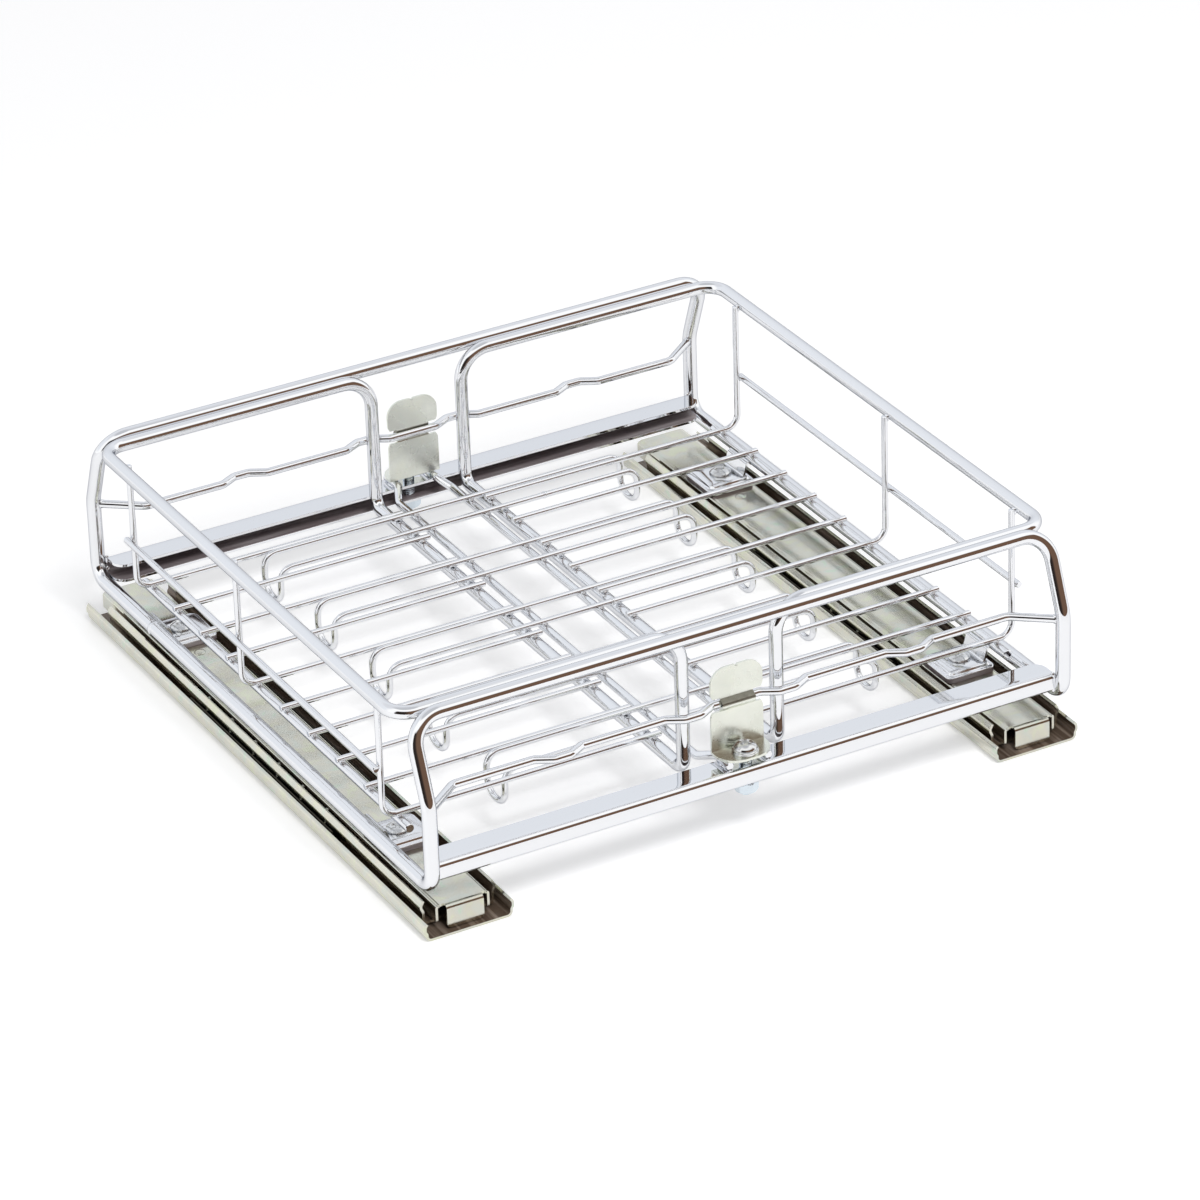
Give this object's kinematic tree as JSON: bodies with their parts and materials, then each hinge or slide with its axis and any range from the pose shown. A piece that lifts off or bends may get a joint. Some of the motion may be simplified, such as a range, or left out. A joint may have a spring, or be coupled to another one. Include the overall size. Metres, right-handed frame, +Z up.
{
  "type": "pull-out cabinet basket",
  "caption": "Low chromed wire basket in two halves that spread sideways, on a rod frame that pulls out of a cabinet on ball slides.",
  "frame": {"origin": "middle of the footprint, on the cabinet floor under the slides", "axes": "+X to the right along the front, +Y to the back of the cabinet, +Z up"},
  "size_m": [0.3412, 0.351, 0.1065],
  "materials": {
    "rod_chrome": "bright chrome plate on drawn steel rod and wire",
    "bar_chrome": "bright chrome plate on folded sheet",
    "zinc_slide": "satin zinc plate on rolled strip",
    "clip_zinc": "satin zinc plate, faintly green",
    "bolt_zinc": "bright blue zinc plate",
    "cage_steel": "oiled steel strip in the slide's shadow",
    "ball_steel": "ground and polished steel"
  },
  "bodies": {
    "cabinet_rails": {"outer_rail_left": "zinc_slide", "outer_rail_right": "zinc_slide"},
    "middle_left": {"middle_rail_left": "zinc_slide"},
    "middle_right": {"middle_rail_right": "zinc_slide"},
    "outer_cages": {"outer_ball_cages": "cage_steel", "outer_balls": "ball_steel"},
    "inner_cages": {"inner_ball_cages": "cage_steel", "inner_balls": "ball_steel"},
    "carriage": {"inner_rail_left": "zinc_slide", "inner_rail_right": "zinc_slide", "front_hoop": "rod_chrome", "back_hoop": "rod_chrome", "front_bar": "bar_chrome", "back_bar": "bar_chrome", "front_left_bracket": "rod_chrome", "front_right_bracket": "rod_chrome", "back_left_bracket": "rod_chrome", "back_right_bracket": "rod_chrome", "bracket_screws": "rod_chrome", "front_wave_wire": "rod_chrome", "back_wave_wire": "rod_chrome", "floor_runner_left": "rod_chrome", "floor_runner_right": "rod_chrome", "front_clip": "clip_zinc", "back_clip": "clip_zinc", "clip_bolts": "bolt_zinc", "clip_washers": "bolt_zinc", "clip_nuts": "bolt_zinc", "floor_ring_1": "rod_chrome", "floor_ring_2": "rod_chrome", "floor_ring_3": "rod_chrome", "floor_ring_4": "rod_chrome", "floor_ring_5": "rod_chrome"},
    "left_half": {"left_rail_loop": "rod_chrome", "left_low_side_wire": "rod_chrome", "left_mid_side_wire": "rod_chrome", "left_floor_wire_1": "rod_chrome", "left_floor_wire_2": "rod_chrome", "left_floor_wire_3": "rod_chrome", "left_floor_wire_4": "rod_chrome", "left_floor_wire_5": "rod_chrome", "left_floor_wire_6": "rod_chrome", "left_floor_wire_7": "rod_chrome", "left_floor_wire_8": "rod_chrome", "left_floor_wire_9": "rod_chrome", "left_floor_wire_10": "rod_chrome"},
    "right_half": {"right_rail_loop": "rod_chrome", "right_low_side_wire": "rod_chrome", "right_mid_side_wire": "rod_chrome", "right_floor_wire_1": "rod_chrome", "right_floor_wire_2": "rod_chrome", "right_floor_wire_3": "rod_chrome", "right_floor_wire_4": "rod_chrome", "right_floor_wire_5": "rod_chrome", "right_floor_wire_6": "rod_chrome", "right_floor_wire_7": "rod_chrome", "right_floor_wire_8": "rod_chrome", "right_floor_wire_9": "rod_chrome", "right_floor_wire_10": "rod_chrome"}
  },
  "joints": [
    {"name": "carriage_slide", "type": "slide", "parent": "cabinet_rails", "child": "carriage", "axis": [0, -1, 0], "range_m": [0, 0.33]},
    {"name": "middle_left_slide", "type": "slide", "parent": "cabinet_rails", "child": "middle_left", "axis": [0, -1, 0], "range_m": [0, 0.165]},
    {"name": "middle_right_slide", "type": "slide", "parent": "cabinet_rails", "child": "middle_right", "axis": [0, -1, 0], "range_m": [0, 0.165]},
    {"name": "outer_cages_slide", "type": "slide", "parent": "cabinet_rails", "child": "outer_cages", "axis": [0, -1, 0], "range_m": [0, 0.0825]},
    {"name": "inner_cages_slide", "type": "slide", "parent": "cabinet_rails", "child": "inner_cages", "axis": [0, -1, 0], "range_m": [0, 0.2475]},
    {"name": "left_half_slide", "type": "slide", "parent": "carriage", "child": "left_half", "axis": [-1, 0, 0], "range_m": [0, 0.0665]},
    {"name": "right_half_slide", "type": "slide", "parent": "carriage", "child": "right_half", "axis": [1, 0, 0], "range_m": [0, 0.0665]}
  ],
  "couplings": [
    {"joint": "middle_left_slide", "follows": "carriage_slide", "ratio": 0.5},
    {"joint": "middle_right_slide", "follows": "carriage_slide", "ratio": 0.5},
    {"joint": "outer_cages_slide", "follows": "carriage_slide", "ratio": 0.25},
    {"joint": "inner_cages_slide", "follows": "carriage_slide", "ratio": 0.75}
  ]
}
